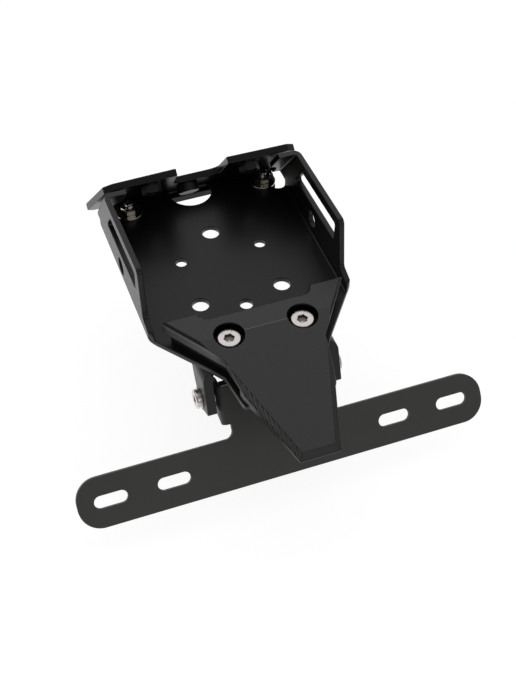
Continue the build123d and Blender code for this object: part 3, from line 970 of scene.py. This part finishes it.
@dataclass
class Fasteners:
    """Every screw, nut and washer, on the seats that the CAD gives them. Sizes in mm."""

    bolt_x: float = 39.5
    bolt_y: float = 48.3
    bracket_shift: float = 2.0
    floor_to_bolt_head: float = 7.0
    cover_screw: tuple[float, float, float] = (19.5, -70.8, 7.2)
    under_hinge: float = -8.0
    pivot: tuple[float, float] = (-73.4, -25.3)
    ear_out: float = 36.6
    flange_out: float = 30.1
    flange_in: float = 27.1
    plate_lean: float = 37.4
    captive_x: float = 28.0
    captive_y: float = 40.337
    captive_z: float = 22.601
    bracket_lean: float = 38.8
    made: list[bpy.types.Object] = field(default_factory=list)

    @staticmethod
    def plain_nut() -> Nut:
        """An M6 nut."""
        return Nut(across_flats=10.0, height=5.0, bore=3.0, pitch=1.0)

    def add(
        self,
        mesh: bmesh.types.BMesh,
        node: str,
        finish: Finish | tuple[Finish, ...],
        slot: str,
    ) -> None:
        """Finish one fastener and keep it.

        Args:
            mesh: Its shape.
            node: The CAD node that it stands for.
            finish: Its surface.
            slot: Not used.
        """
        self.made.append(finish_piece(mesh, f"{node}_detailed", finish, "frame", node))

    def front(self, side: Side) -> None:
        """Bolt, washer and nut through the floor and the front bracket."""
        x = side.value * self.bolt_x + self.bracket_shift
        floor = Vector((x, self.bolt_y, 0.0))
        bolt = HexBolt(
            across_flats=8.0, head_height=3.5, shank=Shank(radius=2.5, length=14.4, pitch=0.8)
        )
        washer = Washer(outer=7.5, bore=2.75, thickness=1.0)
        nut = Nut(across_flats=8.0, height=4.0, bore=2.5, pitch=0.8)
        under = floor + DOWN * self.floor_to_bolt_head
        above = floor + UP * washer.thickness
        shapes = {
            "bolt": bolt.mesh(seat_at(under, DOWN, RIGHT)),
            "washer": washer.mesh(seat_at(floor, UP, RIGHT)),
            "nut": nut.mesh(seat_at(above, UP, RIGHT)),
        }
        for word, mesh in shapes.items():
            self.add(mesh, f"front_{word}_{side.word}", BRIGHT_ZINC, "bright_zinc")

    def captive(self, side: Side) -> None:
        """Nut on the rear face of the front bracket."""
        lean = math.radians(self.bracket_lean)
        x = side.value * self.captive_x + self.bracket_shift
        origin = Vector((x, self.captive_y, self.captive_z))
        outward = Vector((0, -math.cos(lean), -math.sin(lean)))
        self.add(
            self.plain_nut().mesh(seat_at(origin, outward, RIGHT)),
            f"bracket_nut_{side.word}", BLACK_ZINC, "black_zinc",
        )

    def cover(self, side: Side) -> None:
        """Screw in the cover's counterbore and its nut under the hinge bracket."""
        x, y, z = self.cover_screw
        screw = ButtonScrew(
            head_radius=6.25, head_height=4.0, socket=5.0,
            shank=Shank(radius=3.0, length=21.4, pitch=1.0),
        )
        seat = Vector((side.value * x, y, z))
        self.add(
            screw.mesh(seat_at(seat, UP, RIGHT)),
            f"cover_screw_{side.word}", (STAINLESS, SOCKET_PAINTED_SHADE), "stainless",
        )
        below = Vector((side.value * x, y, self.under_hinge))
        self.add(
            self.plain_nut().mesh(seat_at(below, DOWN, RIGHT)),
            f"cover_nut_{side.word}", BLACK_ZINC, "black_zinc",
        )

    def hinge(self, side: Side) -> None:
        """Pivot screw, washer and nut."""
        y, z = self.pivot
        outward = Vector((side.value, 0, 0))
        lean = math.radians(self.plate_lean)
        along = Vector((0, math.sin(lean), math.cos(lean)))
        screw = ButtonScrew(
            head_radius=5.25, head_height=3.3, socket=4.0,
            shank=Shank(radius=3.0, length=15.7, pitch=1.0),
        )
        head = Vector((side.value * self.ear_out, y, z))
        self.add(
            screw.mesh(seat_at(head, outward, FRONT)),
            f"pivot_screw_{side.word}", (STAINLESS, SOCKET_PAINTED_SHADE), "stainless",
        )
        washer = Washer(outer=6.0, bore=3.25, thickness=1.5)
        ring = Vector((side.value * self.flange_out, y, z))
        self.add(
            washer.mesh(seat_at(ring, outward, FRONT)),
            f"pivot_washer_{side.word}", STAINLESS, "stainless",
        )
        inside = Vector((side.value * self.flange_in, y, z))
        self.add(
            self.plain_nut().mesh(seat_at(inside, -outward, along)),
            f"pivot_nut_{side.word}", BLACK_ZINC, "black_zinc",
        )

    def build(self) -> list[bpy.types.Object]:
        """Build all fasteners.

        Returns:
            The pieces.
        """
        for side in Side:
            self.front(side)
            self.captive(side)
            self.cover(side)
            self.hinge(side)
        return self.made


@dataclass
class Studio:
    """Floor, soft light and the camera at the photograph's angle. Places and sizes in mm."""

    floor_z: float = -75.6  # under the plate at its steepest
    floor_half: float = 3000.0
    floor_colour: float = 0.30
    floor_glow: float = 0.86  # strength around the middle of the bright patch
    floor_dim: float = 0.25  # and far from it
    floor_middle: tuple[float, float] = (-270.0, 60.0)
    floor_near: float = 300.0
    floor_far: float = 620.0
    sky_bright: float = 0.90
    sky_dim: float = 0.26
    sky_from: tuple[float, float, float] = (0.12, 0.70, 0.70)
    sky_fade: tuple[float, float] = (0.25, 0.95)  # cosines where it begins and ends to brighten
    panel_place: tuple[float, float, float] = (300.0, -900.0, 500.0)
    panel_aim: tuple[float, float, float] = (0.0, -40.0, 0.0)
    panel_size: tuple[float, float] = (900.0, 400.0)
    panel_power: float = 1.2  # watts
    camera_place: tuple[float, float, float] = (-152.2, -477.8, 472.0)
    camera_look: tuple[float, float, float] = (0.2311, 0.6360, -0.7363)
    focal_pixels: float = 1267.6

    def lay_floor(self) -> None:
        """A plain pale floor that keeps a faint shadow."""
        mesh = bmesh.new()
        bmesh.ops.create_grid(mesh, x_segments=1, y_segments=1, size=self.floor_half * MM)
        bmesh.ops.translate(mesh, verts=mesh.verts, vec=(0, 0, self.floor_z * MM))
        data = bpy.data.meshes.new("floor")
        mesh.to_mesh(data)
        mesh.free()
        paper = bpy.data.materials.new("paper")
        paper.use_nodes = True
        shader = paper.node_tree.nodes["Principled BSDF"]
        shader.inputs["Base Color"].default_value = (self.floor_colour,) * 3 + (1.0,)
        shader.inputs["Roughness"].default_value = 1.0
        shader.inputs["Specular IOR Level"].default_value = 0.0
        shader.inputs["Emission Color"].default_value = (1.0, 1.0, 1.0, 1.0)
        # mirrored in the object, the floor is bright on the left and dim far away
        tree = paper.node_tree
        place = tree.nodes.new("ShaderNodeTexCoord")
        reach = tree.nodes.new("ShaderNodeVectorMath")
        reach.operation = "DISTANCE"
        reach.inputs[1].default_value = Vector((*self.floor_middle, self.floor_z)) * MM
        fade = tree.nodes.new("ShaderNodeMapRange")
        fade.inputs["From Min"].default_value = self.floor_near * MM
        fade.inputs["From Max"].default_value = self.floor_far * MM
        fade.inputs["To Min"].default_value = self.floor_glow
        fade.inputs["To Max"].default_value = self.floor_dim
        tree.links.new(place.outputs["Object"], reach.inputs[0])
        tree.links.new(reach.outputs["Value"], fade.inputs["Value"])
        seen = self.white_to_camera(tree, fade.outputs["Result"], self.floor_glow)
        tree.links.new(seen, shader.inputs["Emission Strength"])
        data.materials.append(paper)
        floor = bpy.data.objects.new("floor", data)
        bpy.context.scene.collection.objects.link(floor)

    def white_to_camera(
        self, tree: bpy.types.NodeTree, strength: bpy.types.NodeSocket, plain: float
    ) -> bpy.types.NodeSocket:
        """Let the camera itself see one plain strength.

        Args:
            tree: The node tree.
            strength: What every other ray sees.
            plain: What the camera sees.

        Returns:
            The socket with the strength for each ray.
        """
        ray = tree.nodes.new("ShaderNodeLightPath")
        choice = tree.nodes.new("ShaderNodeMix")
        choice.data_type = "FLOAT"
        choice.inputs["B"].default_value = plain
        tree.links.new(ray.outputs["Is Camera Ray"], choice.inputs["Factor"])
        tree.links.new(strength, choice.inputs["A"])
        return choice.outputs["Result"]

    def hang_panel(self) -> None:
        """Hang one weak soft light behind the tail."""
        light = bpy.data.lights.new("rear_panel", "AREA")
        light.shape = "RECTANGLE"
        light.size, light.size_y = (side * MM for side in self.panel_size)
        light.energy = self.panel_power
        lamp = bpy.data.objects.new("rear_panel", light)
        bpy.context.scene.collection.objects.link(lamp)
        place, aim = Vector(self.panel_place), Vector(self.panel_aim)
        lamp.location = place * MM
        lamp.rotation_euler = (aim - place).to_track_quat("-Z", "Y").to_euler()

    def spread_sky(self) -> None:
        """A sky that is brightest at the front above the object."""
        world = bpy.data.worlds.new("sky")
        world.use_nodes = True
        tree = world.node_tree
        sky = tree.nodes["Background"]
        sky.inputs["Color"].default_value = (1.0, 1.0, 1.0, 1.0)
        way = tree.nodes.new("ShaderNodeTexCoord")
        facing = tree.nodes.new("ShaderNodeVectorMath")
        facing.operation = "DOT_PRODUCT"
        facing.inputs[1].default_value = Vector(self.sky_from).normalized()
        fade = tree.nodes.new("ShaderNodeMapRange")
        fade.interpolation_type = "SMOOTHSTEP"
        fade.inputs["From Min"].default_value = self.sky_fade[0]
        fade.inputs["From Max"].default_value = self.sky_fade[1]
        fade.inputs["To Min"].default_value = self.sky_dim
        fade.inputs["To Max"].default_value = self.sky_bright
        tree.links.new(way.outputs["Generated"], facing.inputs[0])
        tree.links.new(facing.outputs["Value"], fade.inputs["Value"])
        seen = self.white_to_camera(tree, fade.outputs["Result"], 1.0)
        tree.links.new(seen, sky.inputs["Strength"])
        bpy.context.scene.world = world

    def aim_camera(self) -> None:
        """Set the camera where the photograph was taken from."""
        data = bpy.data.cameras.new("camera")
        data.sensor_width = SENSOR
        data.lens = self.focal_pixels * SENSOR / IMAGE_HEIGHT
        data.clip_start = 0.01
        data.clip_end = 10.0
        camera = bpy.data.objects.new("camera", data)
        bpy.context.scene.collection.objects.link(camera)
        camera.location = Vector(self.camera_place) * MM
        camera.rotation_euler = Vector(self.camera_look).to_track_quat("-Z", "Y").to_euler()
        bpy.context.scene.camera = camera

    def build(self) -> None:
        """Set up everything that isn't part of the object."""
        bpy.context.scene.view_settings.view_transform = "Standard"
        self.lay_floor()
        self.spread_sky()
        self.hang_panel()
        self.aim_camera()


def main() -> None:
    """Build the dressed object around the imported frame."""
    logging.basicConfig(level=logging.INFO, format="%(name)s: %(message)s")
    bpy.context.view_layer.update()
    Studio().build()
    sheets = [
        SheetPart("tray", TRAY_BLACK, "tray_black"),
        SheetPart("front_bracket", BRACKET_BLACK, "bracket_black"),
        SheetPart("hinge_bracket", HINGE_BLACK, "hinge_black"),
        MilledCover(
            "cover", (COVER_MILLED, BORE_PAINTED_SHADE, COVER_SMOOTH, COVER_FOLD_PAINTED_HIGHLIGHT, COVER_RIDGES_PAINTED_LIGHT),
            "cover_milled", edge_round=0.25, sharpest_kept=29.0,
        ),
        SheetPart("centre_spacer", SPACER_BLACK, "spacer_black"),
        SheetPart("plate_bracket", PLATE_BLACK, "plate_black", body="plate"),
    ]
    for sheet in sheets:
        piece = sheet.build()
        LOG.info("%s: %d faces", piece.name, count_faces(piece))
    for piece in Fasteners().build():
        LOG.info("%s: %d faces", piece.name, count_faces(piece))


if __name__ == "__main__":
    main()
